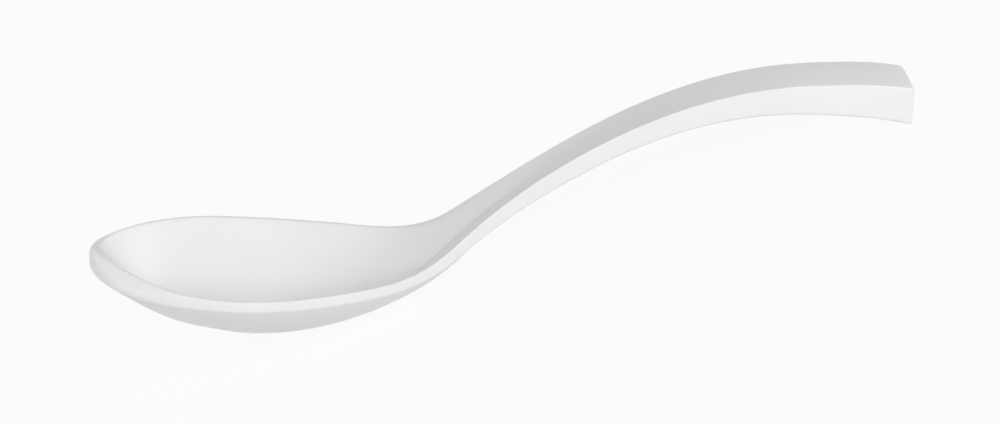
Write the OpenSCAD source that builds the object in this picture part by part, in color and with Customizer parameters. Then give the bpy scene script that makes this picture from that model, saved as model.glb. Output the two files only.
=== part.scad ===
// Salad spoon, moulded in one piece: a deep oval bowl whose edge band runs on
// as the side face of an arched handle that thickens towards a square-cut end.
// The shape is drawn with the bowl level, nose at x = 0, and is then tilted
// into the pose in which it lies on a table, bowl and handle end touching it.

/* [Plan, seen from above] */
// Length from the nose to the handle end, bowl level
spoon_len = 279.5; // [265:0.5:300]
// Full width of the bowl at its widest place
bowl_w = 71; // [60:0.5:80]
// From the nose to the widest place
widest_at = 49; // [43:0.5:56]
// How pointed the nose is: 1 is a half ellipse
nose_point = 1.09; // [1:0.01:1.3]
// From the nose to the shoulder, where the bowl turns into the neck
shoulder_at = 115.5; // [108:0.5:121]
// Full width at the shoulder
shoulder_w = 36; // [32:0.5:42]
// Half width lost for each millimetre of length at the shoulder
shoulder_taper = 0.45; // [0.3:0.01:0.5]
// From the nose to the waist of the handle
waist_at = 169; // [156:0.5:180]
// Full width of the handle at its waist
waist_w = 18.5; // [14:0.5:22]
// Full width of the handle where it is broadest, near its end
flare_w = 22; // [19:0.5:27]
// From the handle end back to its broadest place
flare_back = 14; // [8:0.5:24]
// Narrowing of the handle's full width from there to its end
end_narrowing = 0.6; // [0:0.1:2]
// Radius of the handle end's corners, seen from above
corner_r = 2; // [1.5:0.25:6]
// How far the handle end bulges beyond a straight cut
end_bulge = 0.8; // [0:0.1:2]

/* [Side profile of the upper edge] */
// Height of the rim at the nose over its lowest place
nose_rise = 8.3; // [5:0.1:11]
// Fall of the rim for each millimetre of length at the nose
nose_fall = 0.21; // [0.1:0.01:0.3]
// From the nose to the lowest place of the rim
dip_at = 83; // [76:0.5:92]
// From the nose to the steepest place of the neck
climb_at = 123.5; // [118:0.5:130]
// Height of the edge there over the lowest place of the rim
climb_rise = 9.3; // [7:0.1:13]
// Rise for each millimetre of length there
climb_slope = 0.8; // [0.6:0.01:0.9]
// From the nose to the crest of the handle
crest_at = 245; // [235:0.5:255]
// Height of the crest over the lowest place of the rim
crest_rise = 61.2; // [52:0.1:70]
// How far the upper edge has dropped again at the handle end
end_drop = 2.5; // [0.5:0.1:5]
// Fall of the upper edge for each millimetre of length at the handle end
end_fall = 0.22; // [0.1:0.01:0.3]

/* [Edge band, measured square to the edge] */
// Depth of the edge band at the nose, below the bevel
band_nose = 4.2; // [2.5:0.1:6]
// Depth of the edge band along the bowl
band_bowl = 3.4; // [2.5:0.1:5]
// Depth of the handle's side face at the waist
band_waist = 6.1; // [4.5:0.1:8]
// Depth of the side face halfway between the waist and the broadest place
band_grip = 8.2; // [6:0.1:10]
// Depth of the side face at the handle end
band_end = 12.5; // [9:0.1:15]
// Radius along the upper edge of the bowl and the neck
edge_r = 0.5; // [0.4:0.05:1.2]
// Radius along the upper edge at the handle end
end_edge_r = 1; // [0.8:0.1:2.4]

/* [Rim and hollow] */
// Radius of the rim's rounding at the very nose, where the bevel runs out
bevel_tip = 3; // [0.5:0.1:4]
// Width of the bevel where it is broadest, on either side of the nose
bevel_cheek = 3.2; // [1:0.1:5]
// Rise of the bevel for each millimetre of its width
bevel_pitch = 1; // [0.4:0.05:1.2]
// Width of the rim's flat top round the nose, inside the bevel
lip_nose = 0.5; // [0.3:0.05:1.5]
// Width of the rim's flat top along the sides of the bowl
lip_side = 0.8; // [0.3:0.05:1.5]
// Width over which the rim rolls over into the hollow at the very nose
nose_roll = 2.5; // [0.2:0.1:3.5]
// Width over which it does so where the bevel is broadest
cheek_roll = 0.8; // [0.2:0.1:3]
// Width over which it does so along the sides
side_roll = 0.4; // [0.2:0.05:1]
// Depth of the hollow below the rim
hollow_depth = 21; // [16:0.1:21.5]
// How much less deep the hollow is towards the nose
hollow_ease = 2.4; // [0:0.1:3]
// Depth of the hollow where the bowl begins to run out into the neck
hollow_turn = 13.5; // [10:0.1:14.5]
// Depth of what is left of the hollow as the neck climbs
hollow_neck = 2.6; // [1:0.1:4]
// How far the hollow draws together into a narrow tongue as it runs up the neck
tongue_draw = 6; // [2:0.5:9]
// Depth of the shallow valley along the lower half of the handle's top
valley_depth = 0.9; // [0:0.05:1.4]
// Height of the crown across the handle's top near its end
crown_rise = 0.7; // [0:0.05:1.2]

/* [Underside] */
// From the nose to the deepest place of the belly
deep_at = 55; // [50:0.5:64]
// Depth of the bowl's underside below the edge band
belly_depth = 21; // [20:0.1:24]
// How much less deep the belly is towards the nose
belly_ease = 4.5; // [0:0.1:5]
// Depth of the belly where the bowl begins to run out into the neck
belly_turn = 13.6; // [12.5:0.1:15]
// Rounding of the handle's underside below its side faces
sole_round = 1.2; // [0.6:0.1:2]

/* [Hidden] */

// Stations along half of the outline, and points across a section
nose_steps = 16;
bowl_steps = 20;
neck_steps = 16;
grip_steps = 12;
end_side_steps = 6;
corner_steps = 4;
end_steps = 3;
sole_rings = 10;
edge_rings = 4;
lip_rings = 2;
hollow_rings = 10;

// Places along the spoon, measured from the nose
straight_end = shoulder_at - 12;
turn_at = shoulder_at - 19;
tongue_at = climb_at - 2;
neck_end = climb_at + 16;
sole_end = neck_end + 20;
valley_end = neck_end + 75;
flare_at = spoon_len - flare_back;
grip_mid = (waist_at + flare_at) / 2;
crown_from = flare_at - 60;
end_zone_at = spoon_len - 30;

// The keel is the middle line that every section runs to: under the nose the
// sections fan out from a short stretch of it, and at the end they bunch up
keel_spread = 14;
keel_back = 9;
keel_from = widest_at - keel_spread;

// Bearings, counted from the nose round to the widest place: where the bevel is
// broadest, up to where it stays crisp and where it has faded, and between which
// the nose's forms turn into the sides' ones
cheek_at = 28;
crisp_to = 50;
bevel_fade_to = 84;
slope_from = 30;
slope_to = 84;

// Fall of belly and hollow for each millimetre of length in the neck, and
// growth of the side face's depth along the handle
turn_fall = 0.39;
tongue_fall = 0.27;
waist_growth = 0.022;
grip_growth = 0.06;
end_growth = 0.07;
end_taper = 0.04;

// Powers of the section curves: a higher flat keeps the bottom level for
// longer, a lower round makes the sides stand more upright, and a higher fade
// keeps the nose's form of the belly nearer to the very nose
bowl_flat = 2;
neck_flat = 5;
bowl_round = 0.89;
neck_round = 0.6;
nose_round = 1.09;
nose_flat = 1.4;
belly_fade = 1.3;
nose_hollow_flat = 2.4;
tongue_onset = 3.5;

// Powers of the edge's outline: 1 is a quarter circle, 2 a straight bevel
edge_form = 1;
bevel_form = 1.8;

// Half the length over which a slope is measured
slope_step = 0.05;

// Smooth step from 0 at a to 1 at b
function blend(x, a, b) = let (u = min(1, max(0, (x - a) / (b - a)))) u * u * (3 - 2 * u);

// Value between a and b for a share from 0 to 1
function mix(a, b, share) = a + (b - a) * share;

// Cubic between two knots, each [place, value, slope]
function cubic(x, a, b) =
    let (h = b[0] - a[0], u = (x - a[0]) / h)
    (2 * u ^ 3 - 3 * u ^ 2 + 1) * a[1] + (u ^ 3 - 2 * u ^ 2 + u) * h * a[2]
    + (3 * u ^ 2 - 2 * u ^ 3) * b[1] + (u ^ 3 - u ^ 2) * h * b[2];

// Curve through a row of knots
function along(x, knots, i = 0) =
    i == len(knots) - 2 || x < knots[i + 1][0]
    ? cubic(x, knots[i], knots[i + 1])
    : along(x, knots, i + 1);

// Half width of the outline behind the widest place
side_knots = [
    [widest_at, bowl_w / 2, 0],
    [shoulder_at, shoulder_w / 2, -shoulder_taper],
    [waist_at, waist_w / 2, 0],
    [flare_at, flare_w / 2, 0],
    [spoon_len, (flare_w - end_narrowing) / 2, -end_taper]
];
function half_w(x) = along(x, side_knots);

// Height of the upper edge
rise_knots = [
    [0, nose_rise, -nose_fall],
    [dip_at, 0, 0],
    [climb_at, climb_rise, climb_slope],
    [crest_at, crest_rise, 0],
    [spoon_len, crest_rise - end_drop, -end_fall]
];
function edge_z(x) = along(x, rise_knots);
function edge_slope(x) = (edge_z(x + slope_step) - edge_z(x - slope_step)) / (2 * slope_step);

// Depth of the edge band, square to the edge and then plumb
band_knots = [
    [0, band_nose, 0],
    [widest_at, band_bowl, 0],
    [straight_end, band_bowl, 0],
    [waist_at, band_waist, waist_growth],
    [grip_mid, band_grip, grip_growth],
    [spoon_len, band_end, end_growth]
];
function band_t(x) = along(x, band_knots) * sqrt(1 + edge_slope(x) ^ 2);

// Depth of the hollow below the edge, along the keel
hollow_knots = [
    [keel_from, hollow_depth - hollow_ease, 0],
    [deep_at, hollow_depth, 0],
    [turn_at, hollow_turn, -turn_fall],
    [tongue_at, hollow_neck, -tongue_fall],
    [neck_end, 0, 0],
    [spoon_len, 0, 0]
];
function hollow_z(x) = along(x, hollow_knots);

// Power of the hollow's section: 1 is a bowl, more is a tongue with soft shoulders
function draw(x) = 1 + tongue_draw * min(1, max(0, (x - turn_at) / (climb_at - turn_at))) ^ tongue_onset;

// Share of the way that starts out level and picks up over the width of a roll
function eased(share, roll) = (sqrt(share ^ 2 + roll ^ 2) - roll) / (sqrt(1 + roll ^ 2) - roll);

// Depth of the belly below the edge band, along the keel
belly_knots = [
    [keel_from, belly_depth - belly_ease, 2 * belly_ease / (deep_at - keel_from)],
    [deep_at, belly_depth, 0],
    [turn_at, belly_turn, -turn_fall],
    [neck_end, sole_round, 0],
    [spoon_len, sole_round, 0]
];
function belly_z(x) = along(x, belly_knots);

// Valley along the handle's top, which turns into a crown near the end
function valley(x) =
    valley_depth * blend(x, shoulder_at, neck_end) * (1 - blend(x, sole_end, valley_end))
    - crown_rise * blend(x, crown_from, flare_at);

// Radius along the upper edge
function top_r(x) = mix(edge_r, end_edge_r, blend(x, crown_from, flare_at));

// Width and height of the bevel at a bearing round the nose
function bevel(a) =
    a < cheek_at
    ? mix(bevel_tip, bevel_cheek, blend(a, 0, cheek_at))
    : mix(bevel_cheek, edge_r, blend(a, cheek_at, bevel_fade_to));

// Share of the crisp bevel at a bearing: at the very nose and along the sides
// the edge is rounded
function crisp(a) = blend(a, 0, cheek_at) * (1 - blend(a, crisp_to, bevel_fade_to));

// Half of the outline, nose to handle end: [x, y, width of the rounded or
// bevelled edge, keel x, nose share for the belly, nose share for the rest,
// share of the crisp bevel]
nose_line = [
    for (i = [0:nose_steps - 1])
    let (a = 90 * i / nose_steps)
    [
        widest_at * (1 - cos(a)), bowl_w / 2 * sin(a) ^ nose_point, bevel(a),
        widest_at - keel_spread * cos(a), cos(a) ^ belly_fade, 1 - blend(a, slope_from, slope_to),
        crisp(a)
    ]
];
function spread(from, to, steps) = [for (i = [0:steps - 1]) mix(from, to, i / steps)];
side_places = concat(
    spread(widest_at, straight_end, bowl_steps),
    spread(straight_end, neck_end, neck_steps),
    spread(neck_end, end_zone_at, grip_steps)
);
side_line = [for (x = side_places) [x, half_w(x), top_r(x), x, 0, 0, 0]];

// The handle end: its sides, a rounded corner and the bulging face
corner_at = spoon_len - end_bulge - corner_r;
end_w = half_w(spoon_len);
face_w = end_w - corner_r;
end_side = [for (x = spread(end_zone_at, corner_at, end_side_steps)) [x, half_w(x)]];
end_corner = [
    for (i = [0:corner_steps - 1])
    let (a = 90 * i / corner_steps)
    [corner_at + corner_r * sin(a), end_w - corner_r * (1 - cos(a))]
];
end_face = [
    for (i = [0:end_steps])
    let (y = face_w * (1 - i / end_steps))
    [spoon_len - end_bulge * (y / face_w) ^ 2, y]
];
end_line = concat(end_side, end_corner, end_face);
function run_to(i) = i == 0 ? 0 : run_to(i - 1) + norm(end_line[i] - end_line[i - 1]);
end_run = run_to(len(end_line) - 1);
end_part = [
    for (i = [0:len(end_line) - 1])
    let (keel_x = mix(end_zone_at, spoon_len - keel_back, run_to(i) / end_run))
    [end_line[i][0], end_line[i][1], top_r(end_line[i][0]), keel_x, 0, 0, 0]
];
outline = concat(nose_line, side_line, end_part);
last = len(outline) - 1;

// Shares of the way from the outline to the keel, bunched up near the outline
function near_edge(i, count) = 1 - cos(90 * i / count);

// One half section, from the keel below, round the edge, to the keel above
function section(s) =
    let (
        p = [s[0], s[1]],
        k = [s[3], 0],
        reach = norm(k - p),
        edge = s[2],
        edge_h = edge * mix(1, bevel_pitch, s[6]),
        form = mix(edge_form, bevel_form, s[6]),
        edge_share = edge / reach,
        lip_share = (edge + mix(lip_side, lip_nose, s[5])) / reach,
        bevelled = edge_h - top_r(s[0]),
        belly = belly_z(s[3]),
        belly_round = mix(mix(bowl_round, neck_round, blend(s[3], turn_at, neck_end)), nose_round, s[4]),
        belly_flat = mix(mix(bowl_flat, neck_flat, blend(s[3], turn_at, sole_end)), nose_flat, s[4]),
        hollow = hollow_z(s[3]),
        hollow_flat = mix(bowl_flat, nose_hollow_flat, s[5]),
        roll = mix(mix(side_roll, nose_roll, s[5]), cheek_roll, s[6]) / reach,
        top_at = function (share) let (q = mix(p, k, share))
            [q[0], q[1], edge_z(q[0]) - valley(q[0]) * (1 - (1 - share) ^ 2)]
    )
    concat(
        [
            for (i = [sole_rings:-1:0])
            let (
                share = near_edge(i, sole_rings),
                q = mix(p, k, share),
                sag = belly * (1 - (1 - share) ^ belly_flat) ^ belly_round
            )
            [q[0], q[1], edge_z(q[0]) - bevelled - band_t(q[0]) - sag]
        ],
        [
            for (i = [0:edge_rings])
            let (a = 90 * i / edge_rings, q = top_at(edge_share * (1 - cos(a) ^ form)))
            [q[0], q[1], q[2] - edge_h * (1 - sin(a) ^ form)]
        ],
        [for (i = [1:lip_rings]) top_at(mix(edge_share, lip_share, i / lip_rings))],
        [
            for (i = [1:hollow_rings])
            let (share = near_edge(i, hollow_rings), q = top_at(mix(lip_share, 1, share)))
            [q[0], q[1], q[2] - hollow * (1 - (1 - eased(share, roll)) ^ hollow_flat) ^ draw(s[3])]
        ]
    );

sections = [for (s = outline) section(s)];
across = len(sections[0]);

// Tilt that brings the bowl and the handle end down to one level
keel = concat([for (s = sections) s[0]], sections[last]);
bowl_keel = [for (p = keel) if (p[0] < spoon_len / 2) p];
grip_keel = [for (p = keel) if (p[0] >= spoon_len / 2) p];
steepest_tilt = 45;
tilt_halvings = 30;
function turned(p, a) = [p[0] * cos(a) + p[2] * sin(a), p[1], p[2] * cos(a) - p[0] * sin(a)];
function lowest(points, a) = min([for (p = points) turned(p, a)[2]]);
function rest_tilt(low, high, halvings) =
    let (a = (low + high) / 2)
    halvings == 0 ? a
    : lowest(grip_keel, a) > lowest(bowl_keel, a) ? rest_tilt(a, high, halvings - 1)
    : rest_tilt(low, a, halvings - 1);
tilt = rest_tilt(0, steepest_tilt, tilt_halvings);

// Points of the left half, then of the right half, tilted and set over the origin
half_points = [for (s = sections) each [for (p = s) turned(p, tilt)]];
flat_x = [for (p = half_points) p[0]];
middle_x = (min(flat_x) + max(flat_x)) / 2;
table_z = min([for (p = half_points) p[2]]);
left_points = [for (p = half_points) [p[0] - middle_x, p[1], p[2] - table_z]];
right_points = [for (p = left_points) [p[0], -p[1], p[2]]];

// Both halves share their points on the middle plane
function on_middle(i, j) = i == 0 || i == last || j == 0 || j == across - 1;
function at(i, j, side) = i * across + j + (side == 1 && !on_middle(i, j) ? len(left_points) : 0);

// Two triangles for one patch, never with their shared side in the middle plane
function patch(i, j, side) =
    let (
        a = at(i, j, side),
        b = at(i + 1, j, side),
        c = at(i + 1, j + 1, side),
        d = at(i, j + 1, side)
    )
    on_middle(i, j) && on_middle(i + 1, j + 1)
    ? side == 0 ? [[a, b, d], [b, c, d]] : [[a, d, b], [b, d, c]]
    : side == 0 ? [[a, b, c], [a, c, d]] : [[a, c, b], [a, d, c]];

module spoon() {
    color("white")
    polyhedron(
        points = concat(left_points, right_points),
        faces = [for (side = [0, 1], i = [0:last - 1], j = [0:across - 2]) each patch(i, j, side)],
        convexity = 6
    );
}

spoon();
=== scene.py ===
import math

import bpy
import numpy as np
from mathutils import Matrix, Vector


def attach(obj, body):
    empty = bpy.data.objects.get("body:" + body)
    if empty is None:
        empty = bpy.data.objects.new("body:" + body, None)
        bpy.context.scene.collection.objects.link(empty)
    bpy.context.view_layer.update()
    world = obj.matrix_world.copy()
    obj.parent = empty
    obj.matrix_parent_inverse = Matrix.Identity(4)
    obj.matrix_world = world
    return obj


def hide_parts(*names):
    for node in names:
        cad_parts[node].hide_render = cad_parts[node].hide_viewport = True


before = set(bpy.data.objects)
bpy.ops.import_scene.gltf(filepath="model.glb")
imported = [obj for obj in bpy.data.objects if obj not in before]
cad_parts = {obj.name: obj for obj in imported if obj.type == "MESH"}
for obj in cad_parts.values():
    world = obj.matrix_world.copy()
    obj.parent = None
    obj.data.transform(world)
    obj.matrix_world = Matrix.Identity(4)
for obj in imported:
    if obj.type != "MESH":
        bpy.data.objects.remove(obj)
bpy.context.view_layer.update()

# The view. The camera looks down on the spoon by 24 degrees from a little over a metre away,
# turned slightly towards the bowl, with the bowl held level. Here the spoon lies as it comes
# to rest, belly and handle end down, so spoon and camera are tipped nose up together.
REST_TILT = math.radians(18.9602)
NOSE_FOOT = Vector((-0.14182, 0, 0.04758))
LOOK_AT = Vector((0.1398, 0, 0.0145))
LOOK_DOWN = math.radians(24)
LOOK_ROUND = math.radians(-5.5)
CAMERA_DISTANCE = 1.3
PIXELS_PER_METRE = 2933
PHOTO_WIDTH = 1000
SENSOR_WIDTH = 36

tip = Matrix.Rotation(REST_TILT, 3, "Y")
towards_camera = Vector((
    math.sin(LOOK_ROUND) * math.cos(LOOK_DOWN),
    -math.cos(LOOK_ROUND) * math.cos(LOOK_DOWN),
    math.sin(LOOK_DOWN),
))
rightwards = Vector((math.cos(LOOK_ROUND), math.sin(LOOK_ROUND), 0))
upwards = towards_camera.cross(rightwards)
turn = Matrix((tip @ rightwards, tip @ upwards, tip @ towards_camera)).transposed()

camera = bpy.data.objects.new("camera", bpy.data.cameras.new("camera"))
bpy.context.scene.collection.objects.link(camera)
camera.data.sensor_width = SENSOR_WIDTH
camera.data.lens = SENSOR_WIDTH * PIXELS_PER_METRE * CAMERA_DISTANCE / PHOTO_WIDTH
camera.matrix_world = Matrix.Translation(
    tip @ (LOOK_AT + towards_camera * CAMERA_DISTANCE) + NOSE_FOOT
) @ turn.to_4x4()
bpy.context.scene.camera = camera

# The spoon. A salad spoon of glossy white melamine, pressed in one piece between two
# polished mould halves that part along its edge band: deep oval bowl, climbing neck and
# arched handle. Nothing is fixed to it. All its sizes are in millimetres, bowl level.
LENGTH = 279.3
BOWL_WIDTH = 71.0
WIDEST_AT = 49.0
SHOULDER_AT = 115.5
CLIMB_AT = 123.5
WAIST_AT = 169.0
CREST_AT = 245.0
FLARE_AT = LENGTH - 14.0
CREST_RISE = 61.2
CORNER_R = 0.8
END_BULGE = 0.3

TURN_AT = SHOULDER_AT - 19
STRAIGHT_END = SHOULDER_AT - 12
NECK_END = CLIMB_AT + 16
SOLE_END = NECK_END + 20
VALLEY_END = NECK_END + 75
CROWN_FROM = FLARE_AT - 60
END_ZONE_AT = LENGTH - 30
DEEP_AT = 55.0
KEEL_SPREAD = 14.0
KEEL_FROM = WIDEST_AT - KEEL_SPREAD
KEEL_BACK = 9.0
TURN_FALL = 0.39

# Each curve along the spoon is a row of knots: place, value and slope.
SIDE_LINE = ((WIDEST_AT, BOWL_WIDTH / 2, 0), (SHOULDER_AT, 18.0, -0.45), (WAIST_AT, 9.25, 0),
             (FLARE_AT, 11.0, 0), (LENGTH, 10.7, -0.04))
EDGE_LINE = ((0, 8.7, -0.225), (83.0, 0, 0), (CLIMB_AT, 9.3, 0.8), (CREST_AT, CREST_RISE, 0),
             (LENGTH, CREST_RISE - 2.5, -0.22))
BAND_DEPTH = ((0, 4.1, 0), (WIDEST_AT, 3.4, 0), (STRAIGHT_END, 3.4, 0), (WAIST_AT, 6.1, 0.022),
              ((WAIST_AT + FLARE_AT) / 2, 8.2, 0.06), (LENGTH, 12.5, 0.07))
HOLLOW_DEPTH = ((KEEL_FROM, 18.6, 0), (DEEP_AT, 21.0, 0), (TURN_AT, 13.5, -TURN_FALL),
                (CLIMB_AT - 2, 4.3, -0.3), (NECK_END, 1.1, -0.06), (SOLE_END, 0, 0), (LENGTH, 0, 0))
BELLY_DEPTH = ((KEEL_FROM, 16.5, 9 / (DEEP_AT - KEEL_FROM)), (DEEP_AT, 21.0, 0),
               (TURN_AT, 13.6, -TURN_FALL), (NECK_END, 1.2, 0), (LENGTH, 1.2, 0))
NOSE_DROOP = 0.5
DROOP_END = 7.0
VALLEY_DEPTH = 0.9
CROWN_RISE = 0.7

# The edge round the nose is bevelled. Its places are bearings in degrees, from 0 at the nose
# to 90 at the bowl's widest place.
NOSE_POINT = 1.13
BEVEL_TIP = 3.2
BEVEL_CHEEK = 3.5
CHEEK_AT = 28
CRISP_FROM, CRISP_FULL, CRISP_TO = 8, 32, 50
NOSE_FORM_TO = 30
NOSE_FADE_TO = 84
CRISP_FORM = 1.8
UPPER_EDGE_R = 0.3
END_EDGE_R = 0.5
FOOT_ROUNDING = 0.5
LIP_WIDTH = 0.8
NOSE_LIP_WIDTH = 0.5

# The section's form in the bowl, the neck and the nose. A higher flat gives a flatter middle
# with steeper sides, a lower round fuller sides, and a roll is where the lip turns down.
BELLY_ROUND = 0.89
NECK_BELLY_ROUND = 0.6
NOSE_BELLY_ROUND = 1.09
BELLY_FLAT = 2
NECK_BELLY_FLAT = 5
NOSE_BELLY_FLAT = 1.4
NOSE_BELLY_FADE = 1.3
HOLLOW_FLAT = 2
GROOVE_FLAT = 1.3
NOSE_HOLLOW_FLAT = 2.4
GROOVE_DRAW = 0.5
SIDE_ROLL = 0.4
NOSE_ROLL = 0.8
CHEEK_ROLL = 0.5

NOSE_STATIONS = 64
BOWL_STATIONS = 72
NECK_STATIONS = 84
GRIP_STATIONS = 72
END_SIDE_STATIONS = 24
CORNER_STATIONS = 12
FACE_STATIONS = 10
SOLE_RINGS = 26
FOOT_RINGS = 5
EDGE_RINGS = 9
LIP_RINGS = 5
HOLLOW_RINGS = 34
FOOT_PASSES = 8
MM_PER_METRE = 1000


def smooth_step(x, start, end):
    """0 up to start, 1 from end on, and a smooth rise between."""
    u = min(1.0, max(0.0, (x - start) / (end - start)))
    return u * u * (3 - 2 * u)


def mix(a, b, share):
    return a + (b - a) * share


def along(x, knots):
    """Value at x of the curve through the knots, cubic between each two of them."""
    i = 0
    while i < len(knots) - 2 and x >= knots[i + 1][0]:
        i += 1
    (x0, v0, s0), (x1, v1, s1) = knots[i], knots[i + 1]
    h = x1 - x0
    u = (x - x0) / h
    return ((2 * u ** 3 - 3 * u ** 2 + 1) * v0 + (u ** 3 - 2 * u ** 2 + u) * h * s0
            + (3 * u ** 2 - 2 * u ** 3) * v1 + (u ** 3 - u ** 2) * h * s1)


def edge_height(x):
    """Height of the upper edge, which droops a little at the very nose."""
    return along(x, EDGE_LINE) - NOSE_DROOP * (1 - smooth_step(x, 0, DROOP_END))


def band_height(x):
    """Upright height of the edge band, whose depth is measured square to the edge."""
    step = 0.05
    slope = (edge_height(x + step) - edge_height(x - step)) / (2 * step)
    return along(x, BAND_DEPTH) * math.hypot(1, slope)


def groove_draw(x):
    """How far the hollow's section has drawn together into the neck's groove."""
    return 1 + GROOVE_DRAW * smooth_step(x, TURN_AT, CLIMB_AT)


def handle_valley(x):
    """Shallow valley along the handle's top, which turns into a crown near its end."""
    valley = smooth_step(x, SHOULDER_AT, NECK_END) * (1 - smooth_step(x, SOLE_END, VALLEY_END))
    return VALLEY_DEPTH * valley - CROWN_RISE * smooth_step(x, CROWN_FROM, FLARE_AT)


def edge_width(x):
    """Rounding along the upper edge of the bowl's sides, the neck and the handle."""
    return mix(UPPER_EDGE_R, END_EDGE_R, smooth_step(x, CROWN_FROM, FLARE_AT))


def nose_bevel(bearing):
    """Width of the edge round the nose, broadest on its cheeks."""
    if bearing < CHEEK_AT:
        return mix(BEVEL_TIP, BEVEL_CHEEK, smooth_step(bearing, 0, CHEEK_AT))
    return mix(BEVEL_CHEEK, UPPER_EDGE_R, smooth_step(bearing, CHEEK_AT, NOSE_FADE_TO))


def crisp_bevel(bearing):
    """How far the edge is cut flat: on the cheeks, but not at the very nose or the sides."""
    return (smooth_step(bearing, CRISP_FROM, CRISP_FULL)
            * (1 - smooth_step(bearing, CRISP_TO, NOSE_FADE_TO)))


def spread(start, end, steps):
    """Even places from start up to, but not at, end."""
    return [mix(start, end, i / steps) for i in range(steps)]


def half_outline():
    """Half of the edge line, nose to handle end: x, y, width of the rounded or bevelled edge,
    keel x, how far the belly and all the rest take the nose's form, and the bevel's share."""
    line = []
    for bearing in spread(0, 90, NOSE_STATIONS):
        a = math.radians(bearing)
        line.append((WIDEST_AT * (1 - math.cos(a)), BOWL_WIDTH / 2 * math.sin(a) ** NOSE_POINT,
                     nose_bevel(bearing), WIDEST_AT - KEEL_SPREAD * math.cos(a),
                     math.cos(a) ** NOSE_BELLY_FADE,
                     1 - smooth_step(bearing, NOSE_FORM_TO, NOSE_FADE_TO), crisp_bevel(bearing)))
    sides = (spread(WIDEST_AT, STRAIGHT_END, BOWL_STATIONS)
             + spread(STRAIGHT_END, NECK_END, NECK_STATIONS)
             + spread(NECK_END, END_ZONE_AT, GRIP_STATIONS))
    line += [(x, along(x, SIDE_LINE), edge_width(x), x, 0, 0, 0) for x in sides]

    corner_at = LENGTH - END_BULGE - CORNER_R
    end_width = along(LENGTH, SIDE_LINE)
    face_width = end_width - CORNER_R
    end = [(x, along(x, SIDE_LINE)) for x in spread(END_ZONE_AT, corner_at, END_SIDE_STATIONS)]
    for a in spread(0, math.pi / 2, CORNER_STATIONS):
        end.append((corner_at + CORNER_R * math.sin(a), end_width - CORNER_R * (1 - math.cos(a))))
    for y in spread(face_width, 0, FACE_STATIONS) + [0]:
        end.append((LENGTH - END_BULGE * (y / face_width) ** 2, y))
    run = np.cumsum([0] + [math.dist(end[i], end[i + 1]) for i in range(len(end) - 1)])
    line += [(x, y, edge_width(x), mix(END_ZONE_AT, LENGTH - KEEL_BACK, r / run[-1]), 0, 0, 0)
             for (x, y), r in zip(end, run)]
    return line


def half_section(x, y, edge, keel_x, belly_nose, nose, crisp):
    """Points from the keel below, round the band and the edge, to the keel above."""
    outline, keel = np.array((x, y)), np.array((keel_x, 0.0))
    reach = np.linalg.norm(keel - outline)
    edge_form = mix(1, CRISP_FORM, crisp)
    lip = (edge + mix(LIP_WIDTH, NOSE_LIP_WIDTH, nose)) / reach
    belly = along(keel_x, BELLY_DEPTH)
    belly_round = mix(mix(BELLY_ROUND, NECK_BELLY_ROUND, smooth_step(keel_x, TURN_AT, NECK_END)),
                      NOSE_BELLY_ROUND, belly_nose)
    belly_flat = mix(mix(BELLY_FLAT, NECK_BELLY_FLAT, smooth_step(keel_x, TURN_AT, SOLE_END)),
                     NOSE_BELLY_FLAT, belly_nose)
    hollow = along(keel_x, HOLLOW_DEPTH)
    hollow_flat = mix(mix(HOLLOW_FLAT, GROOVE_FLAT, smooth_step(keel_x, TURN_AT, CLIMB_AT)),
                      NOSE_HOLLOW_FLAT, nose)
    roll = mix(mix(SIDE_ROLL, NOSE_ROLL, nose), CHEEK_ROLL, crisp) / reach
    bevel_drop = edge - edge_width(x)

    def below(share):
        at = mix(outline, keel, share)
        sag = belly * (1 - max(0.0, 1 - share) ** belly_flat) ** belly_round
        return np.array((*at, edge_height(at[0]) - bevel_drop - band_height(at[0]) - sag))

    def above(share):
        at = mix(outline, keel, share)
        return np.array((*at, edge_height(at[0]) - handle_valley(at[0]) * (1 - (1 - share) ** 2)))

    def inside(share):
        eased = (math.hypot(share, roll) - roll) / (math.hypot(1, roll) - roll)
        sink = hollow * (1 - max(0.0, 1 - eased) ** hollow_flat) ** groove_draw(keel_x)
        return above(mix(lip, 1, share)) - np.array((0, 0, sink))

    foot = below(0)
    foot_share = FOOT_ROUNDING / reach
    for _ in range(FOOT_PASSES):
        foot_share *= FOOT_ROUNDING / np.linalg.norm(below(foot_share) - foot)
    points = [below(mix(foot_share, 1, 1 - math.cos(math.pi / 2 * i / SOLE_RINGS)))
              for i in range(SOLE_RINGS, 0, -1)]
    start, end = below(foot_share), foot + np.array((0, 0, FOOT_ROUNDING))
    for i in range(FOOT_RINGS + 1):
        u = i / FOOT_RINGS
        points.append((1 - u) ** 2 * start + 2 * u * (1 - u) * foot + u ** 2 * end)
    for i in range(EDGE_RINGS + 1):
        a = math.pi / 2 * i / EDGE_RINGS
        inwards, upwards = 1 - max(0.0, math.cos(a)) ** edge_form, math.sin(a) ** edge_form
        points.append(above(edge / reach * inwards) - np.array((0, 0, edge * (1 - upwards))))
    points += [above(mix(edge / reach, lip, i / LIP_RINGS)) for i in range(1, LIP_RINGS + 1)]
    points += [inside(1 - math.cos(math.pi / 2 * i / HOLLOW_RINGS))
               for i in range(1, HOLLOW_RINGS + 1)]
    return points


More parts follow.
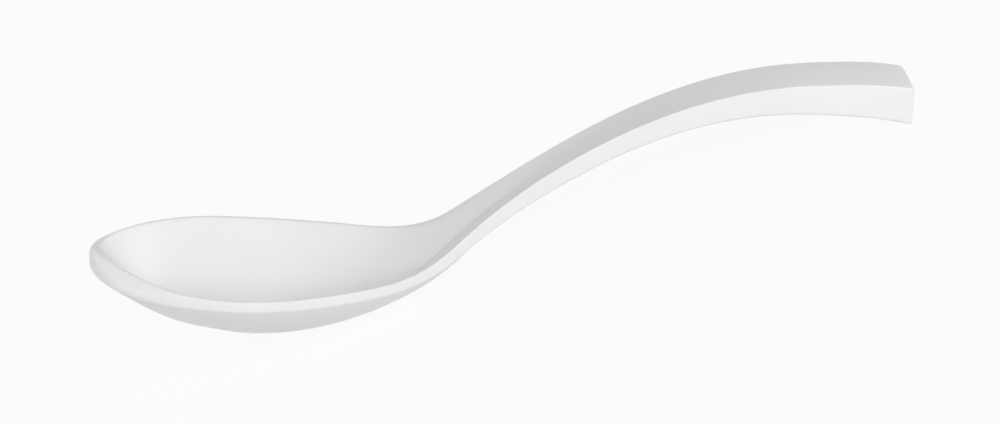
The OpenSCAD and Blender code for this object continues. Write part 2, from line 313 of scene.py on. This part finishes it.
def spoon_mesh():
    """Both halves' sections joined into one closed skin, tipped to how the spoon rests."""
    left = np.array([half_section(*station) for station in half_outline()])
    stations, across = left.shape[:2]
    right = left * (1, -1, 1)
    index = np.full((2, stations, across), -1)
    middle = np.zeros((stations, across), bool)
    middle[0] = middle[-1] = True
    middle[:, 0] = middle[:, -1] = True
    index[0] = np.arange(stations * across).reshape(stations, across)
    index[1] = index[0]
    index[1][~middle] = stations * across + np.arange((~middle).sum())
    points = np.vstack((left.reshape(-1, 3), right[~middle])) / MM_PER_METRE
    faces = []
    for side in (0, 1):
        for i in range(stations - 1):
            for j in range(across - 1):
                face = (index[side, i, j], index[side, i + 1, j],
                        index[side, i + 1, j + 1], index[side, i, j + 1])
                faces.append(face[::-1] if side else face)
    points = points @ np.array(tip).T + np.array(NOSE_FOOT)
    mesh = bpy.data.meshes.new("spoon_body")
    mesh.from_pydata(points.tolist(), [], [tuple(map(int, face)) for face in faces])
    mesh.polygons.foreach_set("use_smooth", [True] * len(mesh.polygons))
    mesh.update()
    return mesh


def melamine():
    """White melamine: polished, with the mould's faint unevenness."""
    material = bpy.data.materials.new("white_melamine")
    material.use_nodes = True
    nodes, links = material.node_tree.nodes, material.node_tree.links
    shader = nodes["Principled BSDF"]
    shader.inputs["IOR"].default_value = 1.5
    place = nodes.new("ShaderNodeTexCoord")

    def noise(scale, detail):
        texture = nodes.new("ShaderNodeTexNoise")
        texture.inputs["Scale"].default_value = scale
        texture.inputs["Detail"].default_value = detail
        links.new(place.outputs["Object"], texture.inputs["Vector"])
        return texture.outputs["Fac"]

    def bump(height, strength, distance):
        node = nodes.new("ShaderNodeBump")
        node.inputs["Strength"].default_value = strength
        node.inputs["Distance"].default_value = distance
        links.new(height, node.inputs["Height"])
        return node

    clouds = noise(28, 3)
    tint = nodes.new("ShaderNodeValToRGB")
    low, high = tint.color_ramp.elements
    low.position, low.color = 0.35, (0.865, 0.858, 0.850, 1)
    high.position, high.color = 0.65, (0.885, 0.880, 0.873, 1)
    links.new(clouds, tint.inputs["Fac"])
    links.new(tint.outputs["Color"], shader.inputs["Base Color"])

    sheen = nodes.new("ShaderNodeMapRange")
    sheen.inputs["From Min"].default_value = 0.3
    sheen.inputs["From Max"].default_value = 0.7
    sheen.inputs["To Min"].default_value = 0.34
    sheen.inputs["To Max"].default_value = 0.42
    links.new(clouds, sheen.inputs["Value"])
    links.new(sheen.outputs["Result"], shader.inputs["Roughness"])

    grain = bump(noise(900, 2), 0.15, 0.00003)
    waves = bump(noise(70, 1), 0.25, 0.0001)
    links.new(grain.outputs["Normal"], waves.inputs["Normal"])
    links.new(waves.outputs["Normal"], shader.inputs["Normal"])
    return material


spoon = bpy.data.objects.new("spoon_body", spoon_mesh())
bpy.context.scene.collection.objects.link(spoon)
spoon.data.materials.append(melamine())
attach(spoon, "root")
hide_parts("spoon")

# The floor. A plain pale sheet that the spoon lies on, wide enough to fill every view. It
# shows as white, and keeps a soft shadow under the spoon.
FLOOR_HALF = 4.0
FLOOR_OWN_WHITE = 0.93
PAPER = (0.86, 0.86, 0.86, 1)
WHITE = (1, 1, 1, 1)


def looking_rays(nodes, links):
    """1 for rays that look at a surface, straight, by reflection or through something clear."""
    path = nodes.new("ShaderNodeLightPath")
    total = path.outputs["Is Camera Ray"]
    for kind in ("Is Glossy Ray", "Is Transmission Ray"):
        add = nodes.new("ShaderNodeMath")
        links.new(total, add.inputs[0])
        links.new(path.outputs[kind], add.inputs[1])
        total = add.outputs["Value"]
    return total


floor_corners = [(x * FLOOR_HALF, y * FLOOR_HALF, 0)
                 for x, y in ((-1, -1), (1, -1), (1, 1), (-1, 1))]
floor_mesh = bpy.data.meshes.new("floor")
floor_mesh.from_pydata(floor_corners, [], [(0, 1, 2, 3)])
floor = bpy.data.objects.new("floor", floor_mesh)
bpy.context.scene.collection.objects.link(floor)
paper = bpy.data.materials.new("floor_paper")
paper.use_nodes = True
paper_nodes, paper_links = paper.node_tree.nodes, paper.node_tree.links
paper_nodes.remove(paper_nodes["Principled BSDF"])
matt = paper_nodes.new("ShaderNodeBsdfDiffuse")
matt.inputs["Color"].default_value = PAPER
white = paper_nodes.new("ShaderNodeEmission")
white.inputs["Color"].default_value = WHITE
seen_share = paper_nodes.new("ShaderNodeMath")
seen_share.operation = "MULTIPLY"
seen_share.inputs[1].default_value = FLOOR_OWN_WHITE
paper_mix = paper_nodes.new("ShaderNodeMixShader")
paper_links.new(looking_rays(paper_nodes, paper_links), seen_share.inputs[0])
paper_links.new(seen_share.outputs["Value"], paper_mix.inputs["Fac"])
paper_links.new(matt.outputs["BSDF"], paper_mix.inputs[1])
paper_links.new(white.outputs["Emission"], paper_mix.inputs[2])
paper_links.new(paper_mix.outputs["Shader"], paper_nodes["Material Output"].inputs["Surface"])
floor_mesh.materials.append(paper)

# The light. Six large soft lamps round the table: three low ones left, right and past the
# handle end, one over the front, two over the back, and a faint surround.
LAMP_DISTANCE = 1.6
SURROUND = 0.015


def soft_lamp(name, azimuth, elevation, width, height, watts):
    """Lamp at that bearing from the spoon, in degrees: 0 is the front, 90 the handle end."""
    a, e = math.radians(azimuth), math.radians(elevation)
    towards = Vector((math.sin(a) * math.cos(e), -math.cos(a) * math.cos(e), math.sin(e)))
    lamp = bpy.data.objects.new(name, bpy.data.lights.new(name, "AREA"))
    lamp.data.shape = "RECTANGLE"
    lamp.data.size = width
    lamp.data.size_y = height
    lamp.data.energy = watts
    lamp.location = towards * LAMP_DISTANCE
    lamp.rotation_mode = "QUATERNION"
    lamp.rotation_quaternion = towards.to_track_quat("Z", "Y")
    bpy.context.scene.collection.objects.link(lamp)


soft_lamp("front_lamp", 0, 38, 1.2, 1.0, 13.3)
soft_lamp("right_lamp", 45, 12, 1.2, 0.6, 10.5)
soft_lamp("end_lamp", 110, 12, 1.2, 0.6, 4.9)
soft_lamp("left_lamp", -75, 12, 1.2, 0.6, 4.5)
soft_lamp("back_lamp", -135, 38, 1.2, 1.0, 3.1)
soft_lamp("top_lamp", -120, 65, 1.2, 1.2, 4.3)

world = bpy.data.worlds.new("surround")
world.use_nodes = True
world_nodes, world_links = world.node_tree.nodes, world.node_tree.links
even = world_nodes["Background"]
even.inputs["Color"].default_value = WHITE
even.inputs["Strength"].default_value = SURROUND
backdrop = world_nodes.new("ShaderNodeBackground")
backdrop.inputs["Color"].default_value = WHITE
backdrop.inputs["Strength"].default_value = 1
world_mix = world_nodes.new("ShaderNodeMixShader")
world_links.new(looking_rays(world_nodes, world_links), world_mix.inputs["Fac"])
world_links.new(even.outputs["Background"], world_mix.inputs[1])
world_links.new(backdrop.outputs["Background"], world_mix.inputs[2])
world_links.new(world_mix.outputs["Shader"], world_nodes["World Output"].inputs["Surface"])
bpy.context.scene.world = world
bpy.context.scene.view_settings.view_transform = "Standard"
